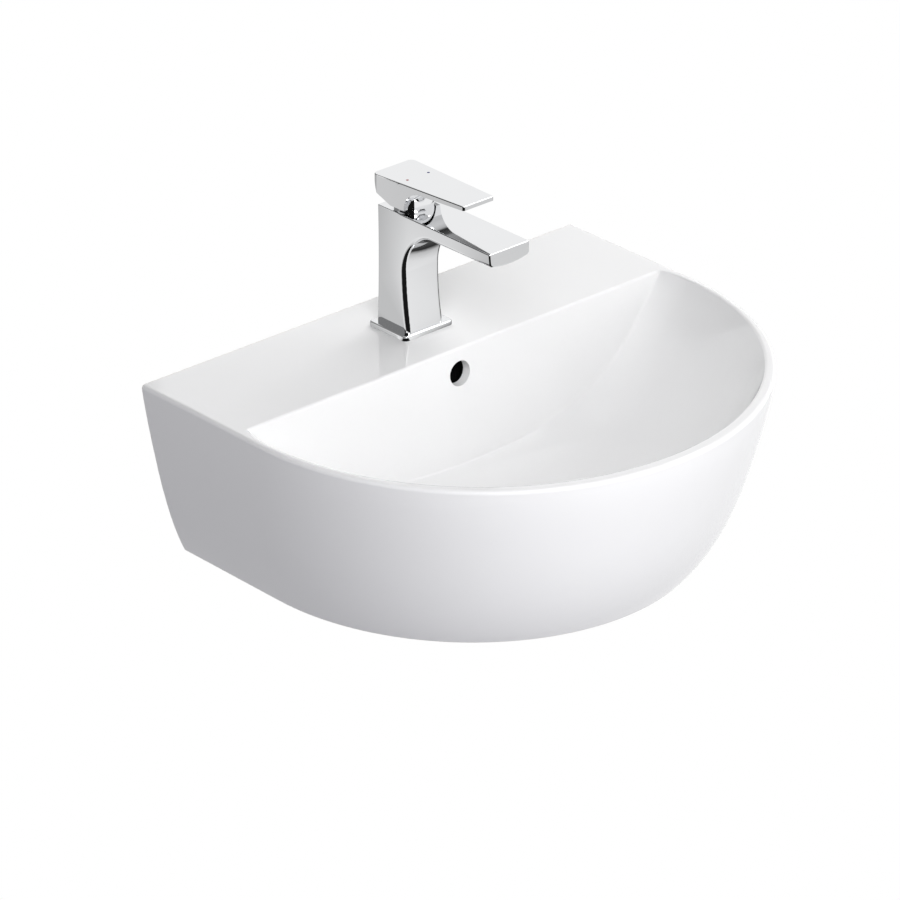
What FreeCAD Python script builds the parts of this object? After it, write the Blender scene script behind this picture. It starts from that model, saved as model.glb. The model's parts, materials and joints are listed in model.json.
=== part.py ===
"""Wall-hung ceramic basin with a single-lever mixer tap and a push-to-open waste.

All sizes are in millimetres. While the pieces are drawn, x runs to the right seen from the front,
y = 0 is the wall, the front of the basin faces -Y and z = 0 is the top of the deck. The last step
lifts every piece so that the origin lies midway between the two wall bolts.
"""
import FreeCAD
import Part

import math
import os

Vec = FreeCAD.Vector

# Basin, outside
BASIN_WIDTH = 500.0
BASIN_DEPTH = 407.0
BASIN_HEIGHT = 172.0
SIDE_STRAIGHT = 155.0
FOOT_INSET_SIDE = 43.0
FOOT_INSET_FRONT = 63.0
FOOT_STRAIGHT = 127.0
BULGE_SIDE = 6.0
BULGE_FRONT = 14.0
BULGE_RISE = 0.7
BULGE_FALL = 4.0
FLANK_STEPS = 6
APRON_WALL = 11.0
BACK_WALL = 12.0
DECK_THICK = 12.0
RIM_ROUND = 3.2

# Basin, bowl
DECK_DEPTH = 125.0
RIM_SIDE = 6.0
RIM_FRONT = 11.5
BOWL_CENTRE = 155.0
BOWL_REAR = 150.0
BOWL_DEPTH = 101.0
BOWL_FALL = 10.0
BOWL_CURVE = 4.0
BOWL_WALL = 10.0
BOWL_RINGS = 9
BOWL_OVERRUN = 1.03
REAR_CURVE_R = 308.0
CREASE_ROUND = 2.0
RIM_LAND = 0.4

# Basin, holes and ducts
FIXING_DROP = 92.0
FIXING_SPACING = 280.0
FIXING_HOLE_R = 7.0
TAP_SETBACK = 63.0
TAP_HOLE_R = 17.5
DRAIN_BACK = 240.0
DRAIN_BORE_R = 23.0
BOSS_R = 44.0
BOSS_HEIGHT = 48.0
OVERFLOW_R = 11.5
OVERFLOW_DROP = 24.0
OVERFLOW_WALL = 12.0
DUCT_HALF_WIDTH = 19.0
DUCT_GAP = 14.0
DUCT_WALL = 8.0
DUCT_TOP_DROP = 10.0
DUCT_LEAN = 9.0
CHAMBER_R = 36.0
CHAMBER_HEIGHT = 16.0
CHAMBER_FLOOR = 14.0

# Clearances
FIT = 0.1
RUN = 0.05
MOVE = 0.4

# Tap body
PLATE_WIDTH = 56.0
PLATE_BACK = 24.0
PLATE_FRONT = 24.5
PLATE_THICK = 4.5
PLATE_CORNER = 4.0
PLATE_ROUND = 1.5
SEAL_THICK = 1.5
SEAL_MARGIN = 3.5
COLUMN_BACK_FOOT = 20.2
COLUMN_BACK_TOP = 16.6
COLUMN_FRONT_FOOT = 20.0
COLUMN_FRONT_WAIST = 14.6
COLUMN_FOOT_WIDTH = 41.5
COLUMN_WAIST_WIDTH = 42.0
SPOUT_WIDTH = 45.8
WAIST_HEIGHT = 60.0
SPOUT_TOP = 115.5
SPOUT_REACH = 127.0
SPOUT_TIP_DEPTH = 11.4
SPOUT_ROOT_DEPTH = 12.5
SPOUT_CROWN = 3.0
ARCH_LENGTH = 36.0
TIP_RAKE = 1.0
TIP_ROUND = 1.2
FRONT_EDGE_ROUND = 4.0
BACK_EDGE_ROUND = 1.5
TOP_EDGE_ROUND = 0.8
WELL_WIDTH = 30.0
WELL_FRONT = 9.0
WELL_BACK = 12.5
WELL_TOP = 52.0
WELL_CORNER = 3.0
INLET_R = 4.5
INLET_DEPTH = 14.0
INLET_SPACING = 15.0
INLET_FORWARD = 3.0
PASSAGE_R = 3.0
PASSAGE_DROP = 6.0
PORT_R = 2.2

# Tap fixing under the deck
STUD_R = 4.0
STUD_SINK = 12.0
STUD_BACKSET = 7.5
STUD_LENGTH = 108.0
CLAMP_R = 27.0
CLAMP_SLOT = 28.0
CLAMP_GASKET = 3.0
CLAMP_PLATE = 3.0
CLAMP_LAND = 5.4
NUT_FLATS = 13.0
NUT_HEIGHT = 7.0

# Cartridge
CARTRIDGE_FORWARD = 5.0
BORE_R = 13.0
BORE_FLOOR = 86.0
CARTRIDGE_R = 12.7
BASE_THICK = 4.0
PORT_SPACING = 11.0
PORT_BACKSET = 4.0
PORT_SEAL_R = 3.7
PORT_SEAL_THICK = 1.2
FIXED_DISC_THICK = 2.5
CHAMBER_WALL = 1.5
MOVING_DISC_R = 7.6
MOVING_DISC_THICK = 2.4
DISC_LIFT = 0.1
CARRIER_THICK = 3.5
CARTRIDGE_CHAMBER = 11.0
ROOF_THICK = 1.5
NECK_R = 9.5
NECK_HEIGHT = 6.0
GUIDE_R = 8.0
GUIDE_TOP = 3.0
GUIDE_COLLAR_R = 10.5
GUIDE_COLLAR = 1.3
GUIDE_SLOT = 7.6
GUIDE_SLOT_FRONT = 7.2
GUIDE_SLOT_BACK = 4.8
WINDOW_HALF_WIDTH = 4.0
WINDOW_HEIGHT = 4.5
ORING_HEIGHT = 1.2
ORING_DEPTH = 0.8
NUT_RING_HEIGHT = 6.0
PIVOT_Z = 111.0
PIVOT_PIN_R = 1.25
EYE_R = 4.0
STEM_R = 2.0
STEM_NECK_R = 3.0
STEM_BALL_R = 2.5
STEM_BALL_DROP = 13.2
BALL_PLAY = 0.2
STEM_SQUARE = 8.0
STEM_SQUARE_START = 6.0

# Dome and lever
DOME_R = 17.5
DOME_WALL = 1.5
DOME_CENTRE = 2.5
DOME_TOP = 11.5
DOME_CAP = 7.5
DOME_SKIRT_WALL = 1.7
LEVER_GAP = 0.6
LEVER_SOLE = 3.3
LEVER_SOLE_BACK = 6.0
LEVER_LIFT = 20.0
POCKET_STEPS = 5
LEVER_BACK = 29.0
LEVER_FRONT = 82.5
LEVER_BACK_WIDTH = 46.0
LEVER_FRONT_WIDTH = 34.5
LEVER_BACK_TOP = 27.0
LEVER_FRONT_TOP = 30.0
LEVER_TIP_THICK = 4.0
LEVER_PLATE_THICK = 5.0
LEVER_HUB_FRONT = 10.0
LEVER_ARCH_R = 20.5
LEVER_BACK_DROP = 17.0
LEVER_BACK_RAKE = 6.0
LEVER_BACK_CORNER = 6.0
LEVER_FRONT_CORNER = 2.0
LEVER_EDGE_ROUND = 0.8
SOCKET_ROOF = 2.2
GRUB_R = 2.0
GRUB_LENGTH = 14.0
GRUB_ROOF = 4.2
COVER_LENGTH = 2.0
MARK_R = 1.25
MARK_DEPTH = 0.7
MARK_SPACING = 24.0
MARK_FORWARD = 5.0

# Aerator
AERATOR_R = 9.5
AERATOR_TIP = 14.0
AERATOR_WALL = 1.9
AERATOR_HEIGHT = 5.0
AERATOR_SINK = 0.6
AERATOR_WASHER = 1.5
AERATOR_WASHER_BORE = 5.5
JET_R = 0.8
JET_PITCH = 2.6
JET_ROWS = 2

# Waste
SEAT_DEPTH = 6.0
FLANGE_R = 32.0
FLANGE_THICK = 4.5
GASKET_THICK = 2.0
WASTE_R = 20.95
WASTE_WALL = 3.45
WASTE_TAIL = 31.0
TAIL_R = 20.5
SLOT_WIDTH = 8.0
SLOT_COUNT = 4
SLOT_MARGIN = 2.0
CAP_R = 31.0
CAP_EDGE = 2.0
CAP_CROWN = 5.0
CAP_SEAL_R = 22.0
CAP_SEAL_WIDTH = 4.5
CAP_SEAL_THICK = 2.6
CAP_SEAL_SINK = 3.2
CAP_RECESS = 3.0
CAP_STEM_R = 4.0
CAP_STEM_SINK = 3.5
CAP_STEM_LENGTH = 45.0
HUB_R = 10.0
HUB_HEIGHT = 10.0
HUB_DROP = 40.0
WEB_THICK = 5.0
SLEEVE_R = 7.0
SLEEVE_FLANGE = 9.5
SLEEVE_FLANGE_THICK = 2.0
SLEEVE_RISE = 16.0
SLEEVE_FLOOR = 3.0
SPRING_WIRE_R = 0.5
SPRING_R = 2.9
SPRING_LENGTH = 14.0
SPRING_TURNS = 6
LOWER_SEAL_R = 31.0
LOWER_SEAL_THICK = 4.0
SLIP_WASHER_THICK = 1.5
LOCKNUT_FLATS = 54.0
LOCKNUT_HEIGHT = 10.0

# Places that several pieces share
TAP_Y = TAP_SETBACK - DECK_DEPTH
CART_Y = TAP_Y - CARTRIDGE_FORWARD
DRAIN_Y = -DRAIN_BACK
OVAL_A = BASIN_WIDTH / 2 - RIM_SIDE
OVAL_FRONT = BASIN_DEPTH - RIM_FRONT - BOWL_CENTRE
DRAIN_SHARE = FLANGE_R / OVAL_A
FAR = 2 * (BASIN_WIDTH + BASIN_DEPTH)


def box(x0, x1, y0, y1, z0, z1):
    return Part.makeBox(x1 - x0, y1 - y0, z1 - z0, Vec(x0, y0, z0))


def rod(radius, z0, z1, x=0.0, y=0.0):
    return Part.makeCylinder(radius, z1 - z0, Vec(x, y, z0))


def rod_between(radius, start, end):
    run = end - start
    return Part.makeCylinder(radius, run.Length, start, run)


def tube(outer, inner, z0, z1, x=0.0, y=0.0):
    return rod(outer, z0, z1, x, y).cut(rod(inner, z0, z1, x, y))


def ball(radius, y, z):
    return Part.makeSphere(radius, Vec(0, y, z))


def hexagon(flats, z0, z1, x, y):
    corner = flats / math.sqrt(3)
    turns = [math.radians(60 * i) for i in range(7)]
    outline = [Vec(x + corner * math.cos(t), y + corner * math.sin(t), z0) for t in turns]
    return Part.Face(Part.makePolygon(outline)).extrude(Vec(0, 0, z1 - z0))


def rounded_block(width, y0, y1, corner, z0, z1):
    """An upright block, centred in x, with its four upright edges rounded."""
    block = box(-width / 2, width / 2, y0, y1, z0, z1)
    return block.makeFillet(corner, upright_edges(block))


def upright_edges(shape):
    return [e for e in shape.Edges if e.BoundBox.XLength + e.BoundBox.YLength < FIT < e.BoundBox.ZLength]


def edges_at_height(shape, z):
    return [e for e in shape.Edges if abs(e.BoundBox.ZMin - z) < FIT and abs(e.BoundBox.ZMax - z) < FIT]


def arc(a, b, c):
    return Part.Arc(a, b, c).toShape()


def line(a, b):
    return Part.makeLine(a, b)


def half_oval(a, b, y, z):
    """Half an ellipse from (+a, y) to (-a, y) that reaches b beyond y, forwards for a negative b."""
    half_turn = arc(Vec(1, 0, 0), Vec(0, 1, 0), Vec(-1, 0, 0))
    stretch = FreeCAD.Matrix()
    stretch.scale(a, b, 1)
    stretch.move(Vec(0, y, z))
    return half_turn.transformGeometry(stretch)


def d_outline(half_width, back, straight, depth, z):
    """The basin's plan at one height: flat back, straight sides and half an ellipse in front."""
    corners = [Vec(half_width, -straight, z), Vec(half_width, -back, z)]
    corners += [Vec(-half_width, -back, z), Vec(-half_width, -straight, z)]
    edges = [line(a, b) for a, b in zip(corners, corners[1:])]
    return Part.Wire(edges + [half_oval(half_width, straight - depth, -straight, z)])


def fullness(share):
    """How full the flank is at a share of the way down: 0 at rim and foot, 1 at its fullest."""
    peak = (BULGE_RISE / (BULGE_RISE + BULGE_FALL)) ** (1 / BULGE_FALL)
    return (share / peak) ** BULGE_RISE * (1 - share ** BULGE_FALL) / (1 - peak ** BULGE_FALL)


def flank(share, inset):
    """Half width, straight run and depth of the outside, share of the way down, moved in by inset."""
    half_width = BASIN_WIDTH / 2 - FOOT_INSET_SIDE * share + BULGE_SIDE * fullness(share) - inset
    depth = BASIN_DEPTH - FOOT_INSET_FRONT * share + BULGE_FRONT * fullness(share) - inset
    straight = SIDE_STRAIGHT + (FOOT_STRAIGHT - SIDE_STRAIGHT) * share
    return half_width, straight, depth


def flank_solid(back, inset, top, bottom):
    """The D-shaped body between two heights, with its sides moved in by inset."""
    outlines = []
    for i in range(FLANK_STEPS + 1):
        z = top + (bottom - top) * i / FLANK_STEPS
        half_width, straight, depth = flank(min(-z / BASIN_HEIGHT, 1), inset)
        outlines.append(d_outline(half_width, back, straight, depth, z))
    return Part.makeLoft(outlines, True)


def bowl_z(share):
    return -BOWL_DEPTH * (1 - share ** BOWL_CURVE) - BOWL_FALL * (1 - share) * abs(1 - share)


def bowl_solid(wall):
    """The full oval dish, grown by wall. Each ring is the rim's oval drawn in towards the drain."""
    rings = []
    for i in range(BOWL_RINGS + 1):
        share = BOWL_OVERRUN + (DRAIN_SHARE - BOWL_OVERRUN) * i / BOWL_RINGS
        y = DRAIN_Y + share * (DRAIN_BACK - BOWL_CENTRE)
        z = bowl_z(share) - wall
        if i == 0:
            z = bowl_z(share)
        half_width = OVAL_A * share + wall
        front = half_oval(half_width, -OVAL_FRONT * share - wall, y, z)
        rear = half_oval(half_width, BOWL_REAR * share + wall, y, z)
        rings.append(Part.Wire([front, rear]))
    return Part.makeLoft(rings, True)


def bowl_space(wall):
    """The dish in front of the curved rear wall, both grown by wall."""
    axis_y = -DECK_DEPTH - REAR_CURVE_R
    in_front = rod_between(REAR_CURVE_R + wall, Vec(-FAR, axis_y, 0), Vec(FAR, axis_y, 0))
    return bowl_solid(wall).common(in_front)


def crease_edges(space):
    """The edges where the rear wall meets the dish, from one top corner to the other."""
    wall_faces = [f for f in space.Faces if isinstance(f.Surface, Part.Cylinder)]
    return [e for f in wall_faces for e in f.Edges if e.BoundBox.ZLength > FIT]


def drain_floor():
    return bowl_z(DRAIN_SHARE)


def seat_z():
    return drain_floor() - SEAT_DEPTH


def boss_foot():
    return seat_z() - BOSS_HEIGHT


def chamber_floor():
    return boss_foot() + CHAMBER_FLOOR


def lean(shape):
    """Tip a shape about the deck's front edge, so that it keeps behind the rear wall."""
    return shape.rotate(Vec(0, -DECK_DEPTH, 0), Vec(1, 0, 0), -DUCT_LEAN)


def duct(margin):
    """The overflow way: down behind the rear wall, then forwards to the ring round the drain."""
    half_width = DUCT_HALF_WIDTH + margin
    front = -DECK_DEPTH + OVERFLOW_WALL - margin
    back = -DECK_DEPTH + OVERFLOW_WALL + DUCT_GAP + margin
    low = chamber_floor() - margin
    high = chamber_floor() + CHAMBER_HEIGHT + margin
    drop = lean(box(-half_width, half_width, front, back, low - DECK_DEPTH, -DUCT_TOP_DROP + margin))
    drop = drop.common(box(-FAR, FAR, -FAR, FAR, low, FAR))
    level = box(-half_width, half_width, DRAIN_Y, drop.BoundBox.YMax, low, high)
    behind_floor = lean(box(-FAR, FAR, -FAR, back, -FAR, FAR))
    return drop.fuse(level.common(behind_floor))


def lip_edges(body):
    """The edge of the bowl's mouth, found as the inner outline of the flat top."""
    tops = [f for f in body.Faces if abs(f.BoundBox.ZMin) < FIT and abs(f.BoundBox.ZMax) < FIT]
    outlines = [w for f in tops for w in f.Wires[1:]]
    mouth = min(outlines, key=lambda w: abs(w.BoundBox.YMax + DECK_DEPTH))
    return mouth.Edges


def basin():
    outside = flank_solid(-BACK_WALL, 0.0, 0.0, -BASIN_HEIGHT).common(box(-FAR, FAR, -FAR, 0, -FAR, FAR))
    rim_edges = [e for e in edges_at_height(outside, 0.0) if e.BoundBox.YMin < -FIT]
    outside = outside.makeFillet(RIM_ROUND, rim_edges)
    hollow = flank_solid(BACK_WALL, APRON_WALL, -DECK_THICK, -BASIN_HEIGHT - DECK_THICK)
    space = bowl_space(0.0)
    space = space.makeFillet(CREASE_ROUND, crease_edges(space))
    body = outside.cut(hollow)
    body = body.fuse(bowl_space(BOWL_WALL).common(outside))
    body = body.fuse(rod(BOSS_R, boss_foot(), drain_floor(), 0, DRAIN_Y))
    body = body.fuse(duct(DUCT_WALL))
    body = body.cut(space)
    body = body.cut(duct(0.0))
    body = body.cut(rod(CHAMBER_R, chamber_floor(), chamber_floor() + CHAMBER_HEIGHT, 0, DRAIN_Y))
    body = body.cut(rod(DRAIN_BORE_R, boss_foot(), drain_floor() + SEAT_DEPTH, 0, DRAIN_Y))
    body = body.cut(rod(FLANGE_R + 2 * MOVE, seat_z(), drain_floor() + SEAT_DEPTH, 0, DRAIN_Y))
    body = body.makeFillet(RIM_SIDE - RIM_ROUND - RIM_LAND, lip_edges(body))
    overflow = rod_between(OVERFLOW_R, Vec(0, -DECK_DEPTH - 2 * OVERFLOW_WALL, -OVERFLOW_DROP),
                           Vec(0, -DECK_DEPTH + OVERFLOW_WALL, -OVERFLOW_DROP))
    body = body.cut(overflow)
    body = body.cut(rod(TAP_HOLE_R, -DECK_THICK, 0, 0, TAP_Y))
    for side in (-1, 1):
        x = side * FIXING_SPACING / 2
        bolt_way = rod_between(FIXING_HOLE_R, Vec(x, -BACK_WALL, -FIXING_DROP), Vec(x, 0, -FIXING_DROP))
        body = body.cut(bolt_way)
    return body


def well(margin, z0, z1):
    """The pocket under the tap that the hose ends and the stud come up into."""
    front = TAP_Y - WELL_FRONT - margin
    back = TAP_Y + WELL_BACK + margin
    return rounded_block(WELL_WIDTH + 2 * margin, front, back, WELL_CORNER, z0, z1)


def tap_base_plate():
    front = TAP_Y - PLATE_FRONT
    back = TAP_Y + PLATE_BACK
    plate = rounded_block(PLATE_WIDTH, front, back, PLATE_CORNER, 0, PLATE_THICK)
    plate = plate.makeFillet(PLATE_ROUND, edges_at_height(plate, PLATE_THICK))
    plate = plate.cut(seal_block(FIT))
    return plate.cut(well(0, 0, PLATE_THICK))


def seal_block(margin):
    front = TAP_Y - PLATE_FRONT + SEAL_MARGIN - margin
    back = TAP_Y + PLATE_BACK - SEAL_MARGIN + margin
    width = PLATE_WIDTH - 2 * SEAL_MARGIN + 2 * margin
    return rounded_block(width, front, back, PLATE_CORNER, 0, SEAL_THICK)


def tap_base_seal():
    return seal_block(0).cut(well(0, 0, SEAL_THICK))


def spout_under(y):
    """Height of the spout's underside in its middle at y, between the end of the arch and the tip."""
    root = TAP_Y - COLUMN_FRONT_WAIST - ARCH_LENGTH
    tip = TAP_Y - SPOUT_REACH
    share = (y - root) / (tip - root)
    depth = SPOUT_ROOT_DEPTH + (SPOUT_TIP_DEPTH - SPOUT_ROOT_DEPTH) * share
    return SPOUT_TOP - SPOUT_CROWN - depth


def under_outline(x):
    """Side view at x of the space in front of the column and under the spout's crowned underside."""
    lift = SPOUT_CROWN * (2 * x / SPOUT_WIDTH) ** 2
    foot = Vec(x, TAP_Y - COLUMN_FRONT_FOOT, PLATE_THICK)
    waist = Vec(x, TAP_Y - COLUMN_FRONT_WAIST, WAIST_HEIGHT)
    foot_curve = Part.BezierCurve()
    foot_curve.setPoles([foot, Vec(x, waist.y, (foot.z + waist.z) / 2), waist])
    root = Vec(x, waist.y - ARCH_LENGTH, spout_under(waist.y - ARCH_LENGTH) + lift)
    lead_y = root.y + ARCH_LENGTH / 2
    lead = Vec(x, lead_y, spout_under(lead_y) + lift)
    sweep = Part.BezierCurve()
    sweep.setPoles([waist, waist + Vec(0, 0, (root.z - waist.z) / 2), lead, root])
    end_y = TAP_Y - SPOUT_REACH - MOVE
    end = Vec(x, end_y, spout_under(end_y) + lift)
    low = [Vec(x, end_y, 0), Vec(x, foot.y, 0)]
    edges = [foot_curve.toShape(), sweep.toShape(), line(root, end), line(end, low[0])]
    return Part.Wire(edges + [line(low[0], low[1]), line(low[1], foot)])


def tap_side():
    """Side view of the tap as a block, from its straight back to the spout's tip."""
    tip_y = TAP_Y - SPOUT_REACH
    outline = [Vec(0, TAP_Y + COLUMN_BACK_FOOT, PLATE_THICK), Vec(0, TAP_Y + COLUMN_BACK_TOP, SPOUT_TOP)]
    outline += [Vec(0, tip_y + TIP_RAKE, SPOUT_TOP), Vec(0, tip_y, spout_under(tip_y))]
    outline += [Vec(0, tip_y, PLATE_THICK)]
    face = Part.Face(Part.makePolygon(outline + outline[:1]))
    face.translate(Vec(-SPOUT_WIDTH, 0, 0))
    return face.extrude(Vec(2 * SPOUT_WIDTH, 0, 0))


def tap_front():
    """Front view of the tap: sides drawn in at the waist and wider again at the spout."""
    foot = COLUMN_FOOT_WIDTH / 2
    waist = COLUMN_WAIST_WIDTH / 2
    top = SPOUT_WIDTH / 2
    right = arc(Vec(foot, 0, PLATE_THICK), Vec(waist, 0, WAIST_HEIGHT), Vec(top, 0, SPOUT_TOP))
    left = arc(Vec(-top, 0, SPOUT_TOP), Vec(-waist, 0, WAIST_HEIGHT), Vec(-foot, 0, PLATE_THICK))
    over = line(Vec(top, 0, SPOUT_TOP), Vec(-top, 0, SPOUT_TOP))
    under = line(Vec(-foot, 0, PLATE_THICK), Vec(foot, 0, PLATE_THICK))
    face = Part.Face(Part.Wire([right, over, left, under]))
    return face.extrude(Vec(0, -BASIN_DEPTH, 0))


def ridge_edges(blank):
    """The edges between the tap's sides and its front or back, from the plate to the spout's top."""
    edges = [e for e in blank.Edges if e.BoundBox.XLength < SPOUT_WIDTH / 2]
    return [e for e in edges if e.BoundBox.ZMin < SPOUT_TOP - FIT and e.BoundBox.ZMax > PLATE_THICK + FIT]


def behind_tip():
    """The y of a plane just behind the spout's front face."""
    return TAP_Y - SPOUT_REACH + TIP_RAKE + FIT


def tip_edges(blank):
    """The edges of the spout's front face below its top."""
    edges = [e for e in blank.Edges if e.BoundBox.YMax < behind_tip()]
    return [e for e in edges if e.BoundBox.ZMin < SPOUT_TOP - FIT]


def tap_blank():
    """Column and spout with rounded edges, before the bores."""
    reach = SPOUT_WIDTH / 2 + MOVE
    sections = [under_outline(x) for x in (-reach, 0, reach)]
    blank = tap_side().common(tap_front()).cut(Part.makeLoft(sections, True))
    front = [e for e in ridge_edges(blank) if behind_tip() < e.BoundBox.YMax < CART_Y]
    blank = blank.makeFillet(FRONT_EDGE_ROUND, front)
    blank = blank.makeFillet(BACK_EDGE_ROUND, [e for e in ridge_edges(blank) if e.BoundBox.YMin > CART_Y])
    blank = blank.makeFillet(TIP_ROUND, tip_edges(blank))
    return blank.makeFillet(TOP_EDGE_ROUND, edges_at_height(blank, SPOUT_TOP))


def shell_z():
    return BORE_FLOOR + BASE_THICK


def disc_z():
    return shell_z() + FIXED_DISC_THICK + DISC_LIFT


def roof_z():
    return shell_z() + CARTRIDGE_CHAMBER


def neck_z():
    return roof_z() + ROOF_THICK


def aerator_y():
    return TAP_Y - SPOUT_REACH + AERATOR_TIP


def aerator_z():
    return spout_under(aerator_y()) + AERATOR_SINK


def ports():
    """Centres of the two inlet ports under the cartridge."""
    return [(side * PORT_SPACING / 2, CART_Y + PORT_BACKSET) for side in (-1, 1)]


def stud_y():
    return TAP_Y + STUD_BACKSET


def tap_body():
    body = tap_blank()
    body = body.cut(rod(BORE_R, BORE_FLOOR, SPOUT_TOP, 0, CART_Y))
    body = body.cut(well(0, PLATE_THICK, WELL_TOP))
    body = body.cut(rod(STUD_R + RUN, WELL_TOP, WELL_TOP + STUD_SINK, 0, stud_y()))
    inlet_top = WELL_TOP + INLET_DEPTH
    for side in (-1, 1):
        body = body.cut(rod(INLET_R, WELL_TOP, inlet_top, side * INLET_SPACING / 2, TAP_Y - INLET_FORWARD))
    for x, y in ports():
        body = body.cut(rod(PORT_R, inlet_top - PORT_R, BORE_FLOOR, x, y))
    outlet = Vec(0, CART_Y - CARTRIDGE_R, disc_z() + WINDOW_HEIGHT / 2)
    elbow = Vec(0, TAP_Y - COLUMN_FRONT_WAIST - ARCH_LENGTH, SPOUT_TOP - PASSAGE_DROP)
    aerator_end = Vec(0, aerator_y(), elbow.z)
    body = body.cut(rod_between(PASSAGE_R, outlet, elbow).fuse(ball(PASSAGE_R, elbow.y, elbow.z)))
    body = body.cut(rod_between(PASSAGE_R, elbow, aerator_end))
    washer_top = aerator_z() + AERATOR_HEIGHT + AERATOR_WASHER
    return body.cut(rod(AERATOR_R + FIT, aerator_z() - AERATOR_R, washer_top, 0, aerator_y()))


def aerator_shell():
    bore = AERATOR_R - AERATOR_WALL
    return tube(AERATOR_R, bore, aerator_z(), aerator_z() + AERATOR_HEIGHT, 0, aerator_y())


def aerator_insert():
    """A jet plate: one hole in the middle and rings of holes round it."""
    z0 = aerator_z() + AERATOR_SINK
    z1 = aerator_z() + AERATOR_HEIGHT
    plate = rod(AERATOR_R - AERATOR_WALL - RUN, z0, z1, 0, aerator_y())
    jets = [rod(JET_R, z0, z1, 0, aerator_y())]
    for row in range(1, JET_ROWS + 1):
        count = 6 * row
        for i in range(count):
            turn = 2 * math.pi * i / count
            x = JET_PITCH * row * math.cos(turn)
            y = aerator_y() + JET_PITCH * row * math.sin(turn)
            jets.append(rod(JET_R, z0, z1, x, y))
    return plate.cut(Part.makeCompound(jets))


def aerator_washer():
    z0 = aerator_z() + AERATOR_HEIGHT
    return tube(AERATOR_R, AERATOR_WASHER_BORE, z0, z0 + AERATOR_WASHER, 0, aerator_y())


def fixing_stud():
    top = WELL_TOP + STUD_SINK
    return rod(STUD_R, top - STUD_LENGTH, top, 0, stud_y())


def horseshoe(z0, z1):
    """A round plate with a slot for the hoses, open to the front, and a hole for the stud."""
    plate = rod(CLAMP_R, z0, z1, 0, TAP_Y)
    slot_end = stud_y() - CLAMP_LAND
    plate = plate.cut(box(-CLAMP_SLOT / 2, CLAMP_SLOT / 2, TAP_Y - 2 * CLAMP_R, slot_end, z0, z1))
    return plate.cut(rod(STUD_R + 2 * FIT, z0, z1, 0, stud_y()))


def clamp_gasket():
    return horseshoe(-DECK_THICK - CLAMP_GASKET, -DECK_THICK)


def clamp_plate():
    top = -DECK_THICK - CLAMP_GASKET
    return horseshoe(top - CLAMP_PLATE, top)


def stud_nut():
    top = -DECK_THICK - CLAMP_GASKET - CLAMP_PLATE
    nut = hexagon(NUT_FLATS, top - NUT_HEIGHT, top, 0, stud_y())
    return nut.cut(rod(STUD_R + RUN, top - NUT_HEIGHT, top, 0, stud_y()))


def cartridge_base():
    base = rod(CARTRIDGE_R, BORE_FLOOR, shell_z(), 0, CART_Y)
    for x, y in ports():
        base = base.cut(rod(PORT_R, BORE_FLOOR, shell_z(), x, y))
        base = base.cut(rod(PORT_SEAL_R + FIT, BORE_FLOOR, BORE_FLOOR + PORT_SEAL_THICK, x, y))
    return base


def port_seals():
    top = BORE_FLOOR + PORT_SEAL_THICK
    return Part.makeCompound([tube(PORT_SEAL_R, PORT_R, BORE_FLOOR, top, x, y) for x, y in ports()])


def chamber_r():
    return CARTRIDGE_R - CHAMBER_WALL


def fixed_disc():
    top = shell_z() + FIXED_DISC_THICK
    disc = rod(chamber_r() - FIT, shell_z(), top, 0, CART_Y)
    for x, y in ports():
        disc = disc.cut(rod(PORT_R, shell_z(), top, x, y))
    return disc


def disc_travel():
    return STEM_BALL_DROP * math.sin(math.radians(LEVER_LIFT))


def moving_disc_y():
    return CART_Y + disc_travel() / 2


def moving_disc():
    return rod(MOVING_DISC_R, disc_z(), disc_z() + MOVING_DISC_THICK, 0, moving_disc_y())


def disc_carrier():
    """The plastic driver on the moving disc, with the pocket that takes the end of the stem."""
    z0 = disc_z() + MOVING_DISC_THICK
    z1 = z0 + CARRIER_THICK
    half = STEM_BALL_R + BALL_PLAY
    pocket = box(-half - BALL_PLAY, half + BALL_PLAY, CART_Y - half, CART_Y + half, z0, z1)
    return rod(MOVING_DISC_R, z0, z1, 0, moving_disc_y()).cut(pocket)


def oring_z():
    return disc_z() + WINDOW_HEIGHT + ORING_HEIGHT


def cartridge_shell():
    shell = rod(CARTRIDGE_R, shell_z(), neck_z(), 0, CART_Y)
    shell = shell.fuse(rod(NECK_R, neck_z(), neck_z() + NECK_HEIGHT, 0, CART_Y))
    shell = shell.cut(rod(chamber_r(), shell_z(), roof_z(), 0, CART_Y))
    shell = shell.cut(rod(GUIDE_R + RUN, roof_z(), neck_z() + NECK_HEIGHT, 0, CART_Y))
    window_top = disc_z() + WINDOW_HEIGHT
    window_y = CART_Y - 2 * CARTRIDGE_R
    shell = shell.cut(box(-WINDOW_HALF_WIDTH, WINDOW_HALF_WIDTH, window_y, CART_Y, disc_z(), window_top))
    groove = tube(BORE_R, CARTRIDGE_R - ORING_DEPTH, oring_z(), oring_z() + ORING_HEIGHT, 0, CART_Y)
    return shell.cut(groove)


def cartridge_oring():
    inner = CARTRIDGE_R - ORING_DEPTH + RUN
    return tube(BORE_R - RUN, inner, oring_z() + RUN, oring_z() + ORING_HEIGHT - RUN, 0, CART_Y)


def retaining_nut():
    return tube(BORE_R - RUN, NECK_R + FIT, neck_z(), neck_z() + NUT_RING_HEIGHT, 0, CART_Y)


def cross_pin(radius, half_length):
    return rod_between(radius, Vec(-half_length, CART_Y, PIVOT_Z), Vec(half_length, CART_Y, PIVOT_Z))


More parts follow.
